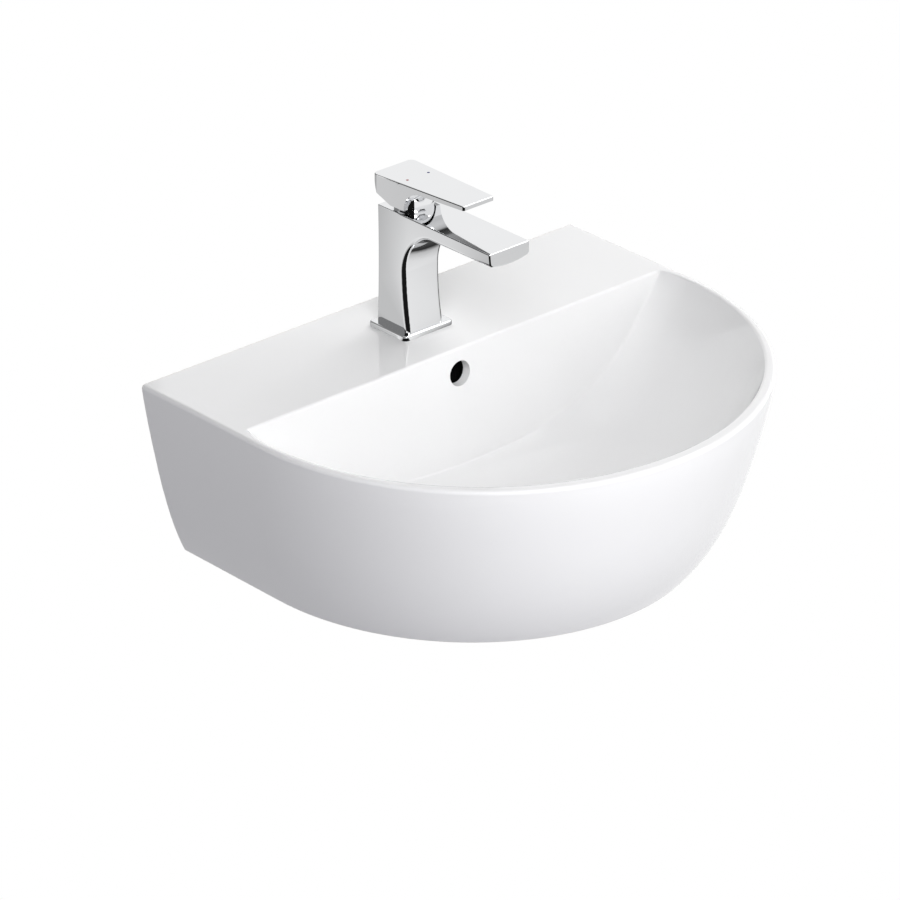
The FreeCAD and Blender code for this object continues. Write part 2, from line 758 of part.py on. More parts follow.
def stem_guide():
    collar_top = roof_z() - MOVE
    guide = rod(GUIDE_R, collar_top - GUIDE_COLLAR, PIVOT_Z + GUIDE_TOP, 0, CART_Y)
    guide = guide.fuse(rod(GUIDE_COLLAR_R, collar_top - GUIDE_COLLAR, collar_top, 0, CART_Y))
    slot = box(-GUIDE_SLOT / 2, GUIDE_SLOT / 2, CART_Y - GUIDE_SLOT_FRONT, CART_Y + GUIDE_SLOT_BACK,
               roof_z() - 2 * GUIDE_COLLAR_R, PIVOT_Z + GUIDE_TOP)
    return guide.cut(slot).cut(cross_pin(PIVOT_PIN_R, GUIDE_R))


def pivot_pin():
    return cross_pin(PIVOT_PIN_R, math.sqrt(GUIDE_R ** 2 - PIVOT_PIN_R ** 2))


def lever_top(y):
    """Height of the lever's top face at y."""
    share = (CART_Y + LEVER_BACK - y) / (LEVER_BACK + LEVER_FRONT)
    return SPOUT_TOP + LEVER_BACK_TOP + (LEVER_FRONT_TOP - LEVER_BACK_TOP) * share


def socket_top():
    return lever_top(CART_Y) - SOCKET_ROOF


def stem_square(margin, z0, z1):
    half = STEM_SQUARE / 2 + margin
    return box(-half, half, CART_Y - half, CART_Y + half, z0, z1)


def lever_stem():
    ball_z = PIVOT_Z - STEM_BALL_DROP
    square_z = PIVOT_Z + STEM_SQUARE_START
    stem = ball(STEM_BALL_R, CART_Y, ball_z).fuse(rod(STEM_R, ball_z, PIVOT_Z, 0, CART_Y))
    stem = stem.fuse(cross_pin(EYE_R, GUIDE_SLOT / 2 - MOVE))
    stem = stem.fuse(rod(STEM_NECK_R, PIVOT_Z, square_z, 0, CART_Y))
    stem = stem.fuse(stem_square(0, square_z, socket_top()))
    return stem.cut(cross_pin(PIVOT_PIN_R + RUN, GUIDE_SLOT))


def dome_z():
    return SPOUT_TOP + DOME_CENTRE


def dome_cover():
    """A ball-shaped cover over the cartridge, open over the stem and behind, with a skirt in the bore."""
    skirt_r = BORE_R - RUN
    skirt_bore = skirt_r - DOME_SKIRT_WALL
    hollow = ball(DOME_R - DOME_WALL, CART_Y, dome_z())
    band = ball(DOME_R, CART_Y, dome_z()).cut(hollow)
    sole = rod(DOME_R, SPOUT_TOP, SPOUT_TOP + DOME_WALL, 0, CART_Y).common(ball(DOME_R, CART_Y, dome_z()))
    slab = box(-DOME_R, DOME_R, CART_Y - DOME_R, CART_Y + DOME_R, SPOUT_TOP, SPOUT_TOP + DOME_TOP)
    cap = box(-DOME_R, DOME_R, CART_Y - DOME_R, CART_Y - DOME_CAP, SPOUT_TOP, dome_z() + DOME_R)
    cover = band.common(slab.fuse(cap)).fuse(sole)
    skirt_z = neck_z() + NUT_RING_HEIGHT + MOVE
    cover = cover.fuse(rod(skirt_r, skirt_z, SPOUT_TOP, 0, CART_Y))
    return cover.cut(rod(skirt_bore, skirt_z, SPOUT_TOP + DOME_WALL, 0, CART_Y))


def lever_blank():
    """Side view: a thin plate in front of a deep hub, with a round arch between, drawn in in plan."""
    back_y = CART_Y + LEVER_BACK
    front_y = CART_Y - LEVER_FRONT
    arch_y = CART_Y - LEVER_HUB_FRONT - LEVER_ARCH_R
    arch_z = lever_top(arch_y) - LEVER_PLATE_THICK
    slant = LEVER_ARCH_R * (1 - math.sqrt(0.5))
    arch_mid = Vec(0, arch_y + LEVER_ARCH_R - slant, arch_z - slant)
    sole_z = SPOUT_TOP + LEVER_SOLE
    outline = [Vec(0, arch_y + LEVER_ARCH_R, arch_z - LEVER_ARCH_R), Vec(0, arch_y + LEVER_ARCH_R, sole_z)]
    outline += [Vec(0, CART_Y + LEVER_SOLE_BACK, sole_z)]
    outline += [Vec(0, back_y - LEVER_BACK_RAKE, lever_top(back_y) - LEVER_BACK_DROP)]
    outline += [Vec(0, back_y, lever_top(back_y)), Vec(0, front_y, lever_top(front_y))]
    outline += [Vec(0, front_y, lever_top(front_y) - LEVER_TIP_THICK), Vec(0, arch_y, arch_z)]
    edges = [line(a, b) for a, b in zip(outline, outline[1:])] + [arc(outline[-1], arch_mid, outline[0])]
    face = Part.Face(Part.Wire(edges))
    face.translate(Vec(-LEVER_BACK_WIDTH, 0, 0))
    side = face.extrude(Vec(2 * LEVER_BACK_WIDTH, 0, 0))
    return side.common(lever_plan())


def lever_plan():
    back = LEVER_BACK_WIDTH / 2
    front = LEVER_FRONT_WIDTH / 2
    back_y = CART_Y + LEVER_BACK
    front_y = CART_Y - LEVER_FRONT
    corners = [Vec(back, back_y, 0), Vec(-back, back_y, 0), Vec(-front, front_y, 0), Vec(front, front_y, 0)]
    face = Part.Face(Part.makePolygon(corners + corners[:1]))
    plan = face.extrude(Vec(0, 0, SPOUT_TOP + 2 * LEVER_FRONT_TOP))
    plan = plan.makeFillet(LEVER_BACK_CORNER, [e for e in upright_edges(plan) if e.BoundBox.YMin > CART_Y])
    front_edges = [e for e in upright_edges(plan) if e.BoundBox.YMax < front_y + FIT]
    return plan.makeFillet(LEVER_FRONT_CORNER, front_edges)


def lever_top_edges(blank):
    """The edges round the lever's top face."""
    top = max(blank.Faces, key=lambda f: f.CenterOfMass.z)
    return top.Edges


def dome_room():
    """The space that the dome takes inside the lever, from rest to full lift."""
    room = rod(DOME_R + LEVER_GAP, SPOUT_TOP, dome_z(), 0, CART_Y)
    arm = dome_z() - PIVOT_Z
    for i in range(POCKET_STEPS + 1):
        tilt = math.radians(LEVER_LIFT * i / POCKET_STEPS)
        y = CART_Y - arm * math.sin(tilt)
        room = room.fuse(ball(DOME_R + LEVER_GAP, y, PIVOT_Z + arm * math.cos(tilt)))
    return room


def grub_z():
    return lever_top(CART_Y) - GRUB_ROOF


def grub_way(y0, y1, radius):
    return rod_between(radius, Vec(0, y0, grub_z()), Vec(0, y1, grub_z()))


def mark_blank(side, margin):
    """A small disc under the lever's top face, side -1 for hot and 1 for cold."""
    y = CART_Y - MARK_FORWARD
    return rod(MARK_R + margin, lever_top(y) - MARK_DEPTH, lever_top(y) + LEVER_FRONT_TOP,
               side * MARK_SPACING / 2, y)


def lever():
    blank = lever_blank()
    blank = blank.makeFillet(LEVER_EDGE_ROUND, lever_top_edges(blank))
    blank = blank.cut(dome_room())
    blank = blank.cut(stem_square(RUN, PIVOT_Z, socket_top()))
    blank = blank.cut(grub_way(CART_Y + STEM_SQUARE / 2, CART_Y + 2 * LEVER_BACK, GRUB_R + RUN))
    for side in (-1, 1):
        blank = blank.cut(mark_blank(side, RUN))
    return blank


def grub_start():
    return CART_Y + STEM_SQUARE / 2


def lever_grub_screw():
    return grub_way(grub_start(), grub_start() + GRUB_LENGTH, GRUB_R)


def grub_cover():
    """A short plug that closes the mouth of the screw hole, flush with the lever's back."""
    start = CART_Y + LEVER_BACK - LEVER_BACK_RAKE - COVER_LENGTH
    return grub_way(start, CART_Y + 2 * LEVER_BACK, GRUB_R).common(lever_blank())


def temperature_mark(side):
    return mark_blank(side, 0).common(lever_blank())


def flange_top():
    return seat_z() + GASKET_THICK + FLANGE_THICK


def waste_bore():
    return WASTE_R - WASTE_WALL


def hub_top():
    return flange_top() - HUB_DROP


def nut_foot():
    return boss_foot() - LOWER_SEAL_THICK - SLIP_WASHER_THICK - LOCKNUT_HEIGHT


def waste_body():
    """Flange, threaded tube, plain tail and the cross bar that carries the click mechanism."""
    foot = nut_foot() - WASTE_TAIL
    body = rod(FLANGE_R, flange_top() - FLANGE_THICK, flange_top(), 0, DRAIN_Y)
    body = body.fuse(rod(WASTE_R, nut_foot(), flange_top(), 0, DRAIN_Y))
    body = body.fuse(rod(TAIL_R, foot, nut_foot(), 0, DRAIN_Y))
    body = body.cut(rod(waste_bore(), foot, flange_top(), 0, DRAIN_Y))
    counterbore = rod(CAP_SEAL_R + MOVE, flange_top() - CAP_SEAL_SINK, flange_top(), 0, DRAIN_Y)
    body = body.cut(counterbore)
    slot_low = chamber_floor() + SLOT_MARGIN
    slot_high = chamber_floor() + CHAMBER_HEIGHT - SLOT_MARGIN
    for i in range(SLOT_COUNT):
        slot = box(0, 2 * WASTE_R, -SLOT_WIDTH / 2, SLOT_WIDTH / 2, slot_low, slot_high)
        slot.rotate(Vec(0, 0, 0), Vec(0, 0, 1), 360 * (i + 0.5) / SLOT_COUNT)
        slot.translate(Vec(0, DRAIN_Y, 0))
        body = body.cut(slot)
    reach = waste_bore() + WASTE_WALL / 2
    web_y = WEB_THICK / 2
    web = box(-reach, reach, DRAIN_Y - web_y, DRAIN_Y + web_y, hub_top() - HUB_HEIGHT, hub_top())
    hub = web.fuse(rod(HUB_R, hub_top() - HUB_HEIGHT, hub_top(), 0, DRAIN_Y))
    hub = hub.cut(rod(SLEEVE_R + FIT, hub_top() - HUB_HEIGHT, hub_top(), 0, DRAIN_Y))
    return body.fuse(hub)


def waste_gasket():
    return tube(FLANGE_R, WASTE_R + FIT, seat_z(), seat_z() + GASKET_THICK, 0, DRAIN_Y)


def cap_z():
    return flange_top() + MOVE


def waste_cap():
    """A low dome, hollowed underneath, that lies over the flange."""
    edge_z = cap_z() + CAP_EDGE
    top_z = edge_z + CAP_CROWN
    sphere_r = (CAP_CROWN ** 2 + CAP_R ** 2) / (2 * CAP_CROWN)
    mid_z = top_z - sphere_r + math.sqrt(sphere_r ** 2 - CAP_R ** 2 / 4)
    crown = arc(Vec(CAP_R, 0, edge_z), Vec(CAP_R / 2, 0, mid_z), Vec(0, 0, top_z))
    sides = [line(Vec(0, 0, top_z), Vec(0, 0, cap_z())), line(Vec(0, 0, cap_z()), Vec(CAP_R, 0, cap_z()))]
    face = Part.Face(Part.Wire([crown] + sides + [line(Vec(CAP_R, 0, cap_z()), Vec(CAP_R, 0, edge_z))]))
    cap = face.revolve(Vec(0, 0, 0), Vec(0, 0, 1), 360)
    cap.translate(Vec(0, DRAIN_Y, 0))
    hollow_r = CAP_SEAL_R - CAP_SEAL_WIDTH
    cap = cap.cut(tube(hollow_r, 2 * CAP_STEM_R, cap_z(), cap_z() + CAP_RECESS, 0, DRAIN_Y))
    return cap.cut(rod(CAP_STEM_R + RUN, cap_z(), cap_z() + CAP_STEM_SINK, 0, DRAIN_Y))


def cap_seal():
    return tube(CAP_SEAL_R, CAP_SEAL_R - CAP_SEAL_WIDTH, cap_z() - CAP_SEAL_THICK, cap_z(), 0, DRAIN_Y)


def stem_foot():
    return cap_z() - CAP_STEM_LENGTH


def cap_stem():
    return rod(CAP_STEM_R, stem_foot(), cap_z() + CAP_STEM_SINK, 0, DRAIN_Y)


def click_sleeve():
    spring_foot = stem_foot() - SPRING_LENGTH
    top = hub_top() + SLEEVE_RISE
    sleeve = rod(SLEEVE_R, spring_foot - SLEEVE_FLOOR, top, 0, DRAIN_Y)
    sleeve = sleeve.fuse(rod(SLEEVE_FLANGE, hub_top(), hub_top() + SLEEVE_FLANGE_THICK, 0, DRAIN_Y))
    return sleeve.cut(rod(CAP_STEM_R + RUN, spring_foot, top, 0, DRAIN_Y))


def click_spring():
    """A coil of half-turn arcs between the sleeve's floor and the stem."""
    foot = stem_foot() - SPRING_LENGTH + SPRING_WIRE_R + RUN
    rise = (SPRING_LENGTH - 2 * SPRING_WIRE_R - 2 * RUN) / (2 * SPRING_TURNS)

    def on_coil(half_turns):
        turn = math.pi * half_turns
        x = SPRING_R * math.cos(turn)
        y = DRAIN_Y + SPRING_R * math.sin(turn)
        return Vec(x, y, foot + rise * half_turns)

    coil = [arc(on_coil(i), on_coil(i + 0.5), on_coil(i + 1)) for i in range(2 * SPRING_TURNS)]
    section = Part.Wire(Part.makeCircle(SPRING_WIRE_R, on_coil(0), coil[0].tangentAt(coil[0].FirstParameter)))
    return Part.Wire(coil).makePipeShell([section], True)


def lower_seal():
    return tube(LOWER_SEAL_R, WASTE_R + FIT, boss_foot() - LOWER_SEAL_THICK, boss_foot(), 0, DRAIN_Y)


def slip_washer():
    top = boss_foot() - LOWER_SEAL_THICK
    return tube(LOWER_SEAL_R, WASTE_R + FIT, top - SLIP_WASHER_THICK, top, 0, DRAIN_Y)


def waste_locknut():
    nut = hexagon(LOCKNUT_FLATS, nut_foot(), nut_foot() + LOCKNUT_HEIGHT, 0, DRAIN_Y)
    return nut.cut(rod(WASTE_R + RUN, nut_foot(), nut_foot() + LOCKNUT_HEIGHT, 0, DRAIN_Y))


PIECES = [
    basin, tap_base_plate, tap_base_seal, tap_body, aerator_shell, aerator_insert, aerator_washer,
    fixing_stud, clamp_gasket, clamp_plate, stud_nut, cartridge_base, port_seals, fixed_disc,
    moving_disc, disc_carrier, cartridge_shell, cartridge_oring, retaining_nut, stem_guide, pivot_pin,
    lever_stem, dome_cover, lever, lever_grub_screw, grub_cover, waste_body, waste_gasket, waste_cap,
    cap_seal, cap_stem, click_sleeve, click_spring, lower_seal, slip_washer, waste_locknut,
]


def write_piece(name, shape):
    """Lift a piece so that the origin lies between the wall bolts, and write it."""
    shape.translate(Vec(0, 0, FIXING_DROP))
    shape.exportStep("parts/" + name + ".step")


os.makedirs("parts", exist_ok=True)
for piece in PIECES:
    write_piece(piece.__name__, piece())
write_piece("hot_mark", temperature_mark(-1))
write_piece("cold_mark", temperature_mark(1))
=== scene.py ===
# %% [markdown]
# # A wall-hung basin with its mixer tap
#
# This file dresses a basin that was built as CAD solids: one white ceramic casting, a chrome tap on its
# deck and a push-to-open waste in its drain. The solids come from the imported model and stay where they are.
# Blender adds the finishes, the small screw threads, the light and the camera.

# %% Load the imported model
import json
import math

import bpy
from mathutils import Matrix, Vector


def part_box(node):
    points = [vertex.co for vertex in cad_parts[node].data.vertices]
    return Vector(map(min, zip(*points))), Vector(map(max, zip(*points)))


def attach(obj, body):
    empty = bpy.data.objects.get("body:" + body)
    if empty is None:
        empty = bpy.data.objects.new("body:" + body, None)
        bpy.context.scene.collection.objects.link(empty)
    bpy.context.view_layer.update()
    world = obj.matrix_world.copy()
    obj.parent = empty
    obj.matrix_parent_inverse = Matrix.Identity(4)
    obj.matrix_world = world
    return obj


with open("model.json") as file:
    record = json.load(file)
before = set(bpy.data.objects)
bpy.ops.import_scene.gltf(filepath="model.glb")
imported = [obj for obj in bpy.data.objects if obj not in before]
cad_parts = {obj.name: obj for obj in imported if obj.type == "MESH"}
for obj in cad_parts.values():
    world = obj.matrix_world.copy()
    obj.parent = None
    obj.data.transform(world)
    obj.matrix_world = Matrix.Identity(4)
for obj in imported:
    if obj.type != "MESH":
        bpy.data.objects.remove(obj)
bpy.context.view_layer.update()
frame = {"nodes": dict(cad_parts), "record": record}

scene = bpy.context.scene
scene.view_settings.view_transform = "Standard"
nodes = frame["nodes"]

# %% [markdown]
# ## Short ways to wire nodes
#
# The room, the cards and the finishes are all trees of nodes. These few functions keep their wiring short.
# Each takes the tree that it adds to, and a value may be another node's socket or a fixed number.

# %% Helpers for node trees
MATH = "ShaderNodeMath"
VECTOR_MATH = "ShaderNodeVectorMath"
SOCKET_TYPES = {"FLOAT": "VALUE", "RGBA": "RGBA"}


def link(tree, value, target):
    """Feed an input from another node's socket, or set it to a fixed value."""
    if isinstance(value, bpy.types.NodeSocket):
        tree.links.new(value, target)
    else:
        target.default_value = value


def calculated(tree, kind, operation, *values):
    """The outputs of a Math or Vector Math node on these values."""
    node = tree.nodes.new(kind)
    node.operation = operation
    for value, target in zip(values, node.inputs):
        link(tree, value, target)
    return node.outputs


def remap(tree, value, low, high, at_low=0.0, at_high=1.0, smooth=False):
    """at_low where value is low, at_high where it is high, and a slope between."""
    node = tree.nodes.new("ShaderNodeMapRange")
    node.interpolation_type = "SMOOTHSTEP" if smooth else "LINEAR"
    settings = {"Value": value, "From Min": low, "From Max": high, "To Min": at_low, "To Max": at_high}
    for name, setting in settings.items():
        link(tree, setting, node.inputs[name])
    return node.outputs["Result"]


def mixed(tree, kind, mask, first, second):
    """first where the mask is 0 and second where it is 1."""
    node = tree.nodes.new("ShaderNodeMix")
    node.data_type = kind
    link(tree, mask, node.inputs["Factor"])
    ends = [s for s in node.inputs if s.type == SOCKET_TYPES[kind]][-2:]
    for value, target in zip((first, second), ends):
        link(tree, value, target)
    return [s for s in node.outputs if s.type == SOCKET_TYPES[kind]][0]


def split(tree, vector):
    """The X, Y and Z of a vector."""
    node = tree.nodes.new("ShaderNodeSeparateXYZ")
    link(tree, vector, node.inputs[0])
    return node.outputs


def object_place(tree):
    return tree.nodes.new("ShaderNodeTexCoord").outputs["Object"]


def show_surface(tree, mask, first, second):
    """Show the first shader where the mask is 0 and the second where it is 1."""
    mix = tree.nodes.new("ShaderNodeMixShader")
    for value, target in zip((mask, first.outputs[0], second.outputs[0]), mix.inputs):
        link(tree, value, target)
    link(tree, mix.outputs[0], tree.nodes["Material Output"].inputs["Surface"])


def seen_rays(tree):
    """1 for rays from the camera or from a mirror-like surface, and 0 for soft light."""
    path = tree.nodes.new("ShaderNodeLightPath")
    seen = path.outputs["Is Camera Ray"]
    for name in ("Is Glossy Ray", "Is Transmission Ray"):
        seen = calculated(tree, MATH, "MAXIMUM", seen, path.outputs[name])[0]
    return seen


# %% [markdown]
# ## Camera
#
# The photograph looks down on the basin from its left front, with a long lens, so that upright edges stay
# almost parallel. The camera could be placed by eye. Here it was fitted to the basin's straight edges and
# outline, and the result is kept as a place, a point to look at and a lens.

# %% Camera
CAMERA_PLACE = Vector((-2.9449, -3.3921, 2.1893))
CAMERA_TARGET = Vector((-0.13747, -0.26608, 0.092))
CAMERA_LENS = 226.81
CAMERA_REACH = 60.0

camera = bpy.data.objects.new("camera", bpy.data.cameras.new("camera"))
camera.data.lens = CAMERA_LENS
camera.data.clip_end = CAMERA_REACH
camera.location = CAMERA_PLACE
camera.rotation_euler = (CAMERA_TARGET - CAMERA_PLACE).to_track_quat("-Z", "Y").to_euler()
scene.collection.objects.link(camera)
scene.camera = camera
print("camera", round((CAMERA_TARGET - CAMERA_PLACE).length, 3), "m from its target")

# %% [markdown]
# ## Room light
#
# The picture was taken in a white studio. The world does two jobs here. For the camera, and for rays that
# polished metal and glaze send out, it is plain white. Soft light comes only from its lower half, as it would
# from a white floor, a little cool, and the lamps give all the light from above. Light Path tells the two
# kinds of ray apart, and the ray's own direction gives the height.

# %% World
AMBIENT_ABOVE = 0.0
AMBIENT_BELOW = 0.43
HORIZON_BAND = 0.3
COOL_SHADE = (0.925, 0.92, 1.0, 1)
WHITE = (1, 1, 1, 1)

world = bpy.data.worlds.new("white_studio")
world.use_nodes = True
scene.world = world
sky = world.node_tree
background = sky.nodes["Background"]
direction = sky.nodes.new("ShaderNodeTexCoord").outputs["Generated"]
height = split(sky, direction)["Z"]
soft = remap(sky, height, -HORIZON_BAND, HORIZON_BAND, AMBIENT_BELOW, AMBIENT_ABOVE, smooth=True)
link(sky, remap(sky, seen_rays(sky), 0.0, 1.0, at_low=soft), background.inputs["Strength"])
link(sky, mixed(sky, "RGBA", seen_rays(sky), COOL_SHADE, WHITE), background.inputs["Color"])
print("ambient", AMBIENT_BELOW, "to", AMBIENT_ABOVE)

# %% [markdown]
# ## Floor
#
# A wall-hung basin has its deck about 0.85 m above the floor. The floor is a pale disc. Close under the
# basin it is plain matt paint and shows the soft shadow. Further out it turns to the studio's white for the
# camera, so that no horizon shows behind the basin.

# %% Floor
DECK_ABOVE_FLOOR = 0.85
FLOOR_RADIUS = 14.0
SHADOW_RADIUS = 0.4
FLOOR_GREY = (0.86, 0.86, 0.86, 1)
FLOOR_ROUGH = 0.9
LEVEL = (1, 1, 0)
ROUND_SIDES = 96
deck_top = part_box("basin")[1].z


def plate(name, corners):
    """One flat face, made in place."""
    mesh = bpy.data.meshes.new(name)
    mesh.from_pydata([tuple(c) for c in corners], [], [range(len(corners))])
    piece = bpy.data.objects.new(name, mesh)
    scene.collection.objects.link(piece)
    return piece


def circle(radius, z):
    turns = [2 * math.pi * i / ROUND_SIDES for i in range(ROUND_SIDES)]
    return [Vector((radius * math.cos(t), radius * math.sin(t), z)) for t in turns]


floor_paint = bpy.data.materials.new("floor_paint")
floor_paint.use_nodes = True
tree = floor_paint.node_tree
paint = tree.nodes["Principled BSDF"]
paint.inputs["Base Color"].default_value = FLOOR_GREY
paint.inputs["Roughness"].default_value = FLOOR_ROUGH
glow = tree.nodes.new("ShaderNodeEmission")
along_floor = calculated(tree, VECTOR_MATH, "MULTIPLY", object_place(tree), LEVEL)["Vector"]
reach = calculated(tree, VECTOR_MATH, "LENGTH", along_floor)["Value"]
outer = remap(tree, reach, SHADOW_RADIUS / 2, SHADOW_RADIUS, smooth=True)
white_out = calculated(tree, MATH, "MULTIPLY", outer, seen_rays(tree))[0]
show_surface(tree, white_out, paint, glow)

floor = plate("floor", circle(FLOOR_RADIUS, deck_top - DECK_ABOVE_FLOOR))
floor.data.materials.append(floor_paint)
floor.visible_diffuse = False
print("floor at", round(deck_top - DECK_ABOVE_FLOOR, 3))

# %% [markdown]
# ## Lamps
#
# The front right of the casting is the brightest side and its left flank the darkest. The bowl is bright at
# its rear left and dim at its right. One lamp can't do both, so five large soft squares stand round the
# basin: a cool one high at the front left for the deck and the bowl, one low in front for the apron, and
# three at the right and the back. Large squares draw no hard shadows. Mirror-like rays don't see them, so no
# square shows in the chrome. Each row below holds an azimuth, an elevation, a power in watts and a colour.

# %% Lamps
LOOK_AT = Vector((0.0, -0.2, 0.05))
LAMP_DISTANCE = 2.6
LAMP_SIZE = 1.6
PLAIN_WHITE = (1, 1, 1)
COOL_WHITE = (0.985, 0.985, 1.0)
LAMPS = {
    "front_left_lamp": (-40, 40, 51.0, COOL_WHITE),
    "low_front_lamp": (15, 5, 38.0, PLAIN_WHITE),
    "right_lamp": (90, 20, 22.0, PLAIN_WHITE),
    "back_right_lamp": (120, 30, 34.0, PLAIN_WHITE),
    "back_lamp": (160, 25, 23.5, PLAIN_WHITE),
}


def round_the_basin(azimuth, elevation):
    """A place at lamp distance, azimuth from straight in front and to the right."""
    a, e = math.radians(azimuth), math.radians(elevation)
    away = Vector((math.sin(a) * math.cos(e), -math.cos(a) * math.cos(e), math.sin(e)))
    return LOOK_AT + LAMP_DISTANCE * away


def soft_lamp(name, place, power, color):
    lamp = bpy.data.lights.new(name, "AREA")
    lamp.shape = "SQUARE"
    lamp.size = LAMP_SIZE
    lamp.energy = power
    lamp.color = color
    holder = bpy.data.objects.new(name, lamp)
    holder.location = place
    holder.rotation_euler = (LOOK_AT - place).to_track_quat("-Z", "Y").to_euler()
    holder.visible_glossy = False
    scene.collection.objects.link(holder)
    print(name, power, "W")


for name, (azimuth, elevation, power, color) in LAMPS.items():
    soft_lamp(name, round_the_basin(azimuth, elevation), power, color)

# %% [markdown]
# ## Cards that only mirrors see
#
# Polished metal shows what stands round it, and in an all-white room it looks like paper. A photographer sets
# dark and grey cards beside it. Each card here has one face, glows with its own tone and is seen only by
# mirror-like rays that meet its front, so it casts no shadow and gives no light.

# %% Helpers for the cards
HIDDEN_FROM = ("camera", "diffuse", "shadow", "transmission", "volume_scatter")


def front_glow(name):
    """A material that glows on the front of a face and is clear on its back."""
    material = bpy.data.materials.new(name)
    material.use_nodes = True
    tree = material.node_tree
    tree.nodes.remove(tree.nodes["Principled BSDF"])
    glow = tree.nodes.new("ShaderNodeEmission")
    clear = tree.nodes.new("ShaderNodeBsdfTransparent")
    side = tree.nodes.new("ShaderNodeNewGeometry")
    show_surface(tree, side.outputs["Backfacing"], glow, clear)
    return material, glow


def toned(name, tone):
    """A card material of one grey."""
    material, glow = front_glow(name)
    glow.inputs["Color"].default_value = WHITE
    glow.inputs["Strength"].default_value = tone
    return material


def mirror_card(name, corners, material):
    """A flat card whose corners run anticlockwise as seen from its front."""
    card = plate(name, corners)
    card.data.materials.append(material)
    for kind in HIDDEN_FROM:
        setattr(card, "visible_" + kind, False)
    print("card", name)


# %% [markdown]
# ## Board under the tap
#
# The camera looks down on the tap, so its upright faces mirror what lies below them. One flat board at the
# height of the deck is therefore enough for all of them. Its tone changes with the direction seen from the
# tap's front left corner: nearly black to the front left, which draws the dark line down that rounded corner,
# pale for the two flat faces, and dark to the right, which lines the far edge and the arch under the spout.
# The board gets a little darker further out, where the lever and the spout's tip are mirrored. Each tone
# below comes after its bearing in degrees.

# %% Board
BOARD_RADIUS = 0.5
BOARD_LIFT = 0.0003
BOARD_TONES = ((-180, 0.55), (-130, 0.55), (-118, 0.1), (-90, 0.03), (-80, 0.6), (-64, 0.85), (-44, 0.93),
               (-36, 0.95), (-27, 0.98), (-20, 0.01), (96, 0.01), (110, 0.6), (128, 0.85), (140, 0.92),
               (147, 0.68), (152, 0.62), (165, 0.62), (176, 0.5))
HALF_TURN = 180
FADE_START, FADE_END, FADE_LEFT = 0.12, 0.27, 0.76
CORNER_INSET = 0.004
plate_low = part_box("tap_base_plate")[0]
corner = Vector((plate_low.x + CORNER_INSET, plate_low.y + CORNER_INSET, deck_top + BOARD_LIFT))

board_paint, glow = front_glow("board_paint")
tree = board_paint.node_tree
to_corner = calculated(tree, VECTOR_MATH, "SUBTRACT", corner, object_place(tree))["Vector"]
sides = split(tree, to_corner)
bearing = calculated(tree, MATH, "ARCTAN2", sides["X"], sides["Y"])[0]
tones = tree.nodes.new("ShaderNodeValToRGB")
steps = tones.color_ramp.elements
while len(steps) < len(BOARD_TONES):
    steps.new(1.0)
for step, (degrees, tone) in zip(steps, BOARD_TONES):
    step.position = (degrees + HALF_TURN) / (2 * HALF_TURN)
    step.color = (tone, tone, tone, 1)
link(tree, remap(tree, bearing, -math.pi, math.pi), tones.inputs["Fac"])
link(tree, tones.outputs["Color"], glow.inputs["Color"])
reach = calculated(tree, VECTOR_MATH, "LENGTH", to_corner)["Value"]
link(tree, remap(tree, reach, FADE_START, FADE_END, 1.0, FADE_LEFT), glow.inputs["Strength"])
mirror_card("board", [corner + c for c in circle(BOARD_RADIUS, 0.0)], board_paint)

# %% [markdown]
# ## Dark card beside the dome
#
# The round dome under the lever mirrors the whole room. A dark card to its left gives it the black crescent
# that polished domes show. It is bent round the tap like a short length of pipe, in flat panels.

# %% Side card
SIDE_CARD_RADIUS = 0.2
SIDE_CARD_TURN = (40, 128)
SIDE_CARD_HEIGHT = (0.06, 0.42)
SIDE_CARD_PANELS = 6
SIDE_CARD_TONE = 0.008
axis = sum(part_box("dome_cover"), Vector()) / 2


def beside_dome(degrees, height):
    turn = math.radians(degrees)
    away = SIDE_CARD_RADIUS * Vector((-math.sin(turn), -math.cos(turn), 0))
    return Vector((axis.x, axis.y, deck_top + height)) + away


dark = toned("dark_card", SIDE_CARD_TONE)
low, high = SIDE_CARD_HEIGHT
first, last = SIDE_CARD_TURN
stops = [first + (last - first) * i / SIDE_CARD_PANELS for i in range(SIDE_CARD_PANELS + 1)]
for i, (a, b) in enumerate(zip(stops, stops[1:])):
    corners = [beside_dome(a, low), beside_dome(b, low), beside_dome(b, high), beside_dome(a, high)]
    mirror_card("side_card_%d" % i, corners, dark)

# %% [markdown]
# ## Cards for the glaze
#
# Glaze is a weaker mirror than chrome, but it still shows the room. A tall grey card behind the basin stands
# in for the wall and darkens the upper right side of the bowl, down to where the deck's edge is mirrored. A
# row of bright squares overhead puts a line of light along the rolled edges and the crease of the bowl.

# %% Tall card and bright squares
TALL_CARD_Y = 0.6
TALL_CARD_SPAN = (-0.7, 0.25)
TALL_CARD_RISE = (-0.1, 1.1)
TALL_CARD_TONE = 0.25
SQUARE_SIZE = 0.6
SQUARE_TONE = 5.0
SQUARE_DIRECTIONS = ((-38, 36), (-21, 46), (0, 58), (40, 64), (70, 46), (94, 53))
UPWARDS = Vector((0, 0, 1))


def facing_square(name, azimuth, elevation, material):
    """A square at lamp distance that faces the basin."""
    middle = round_the_basin(azimuth, elevation)
    inwards = (LOOK_AT - middle).normalized()
    right = inwards.cross(UPWARDS).normalized() * SQUARE_SIZE / 2
    up = right.cross(inwards).normalized() * SQUARE_SIZE / 2
    corners = [middle + right - up, middle - right - up, middle - right + up, middle + right + up]
    mirror_card(name, corners, material)


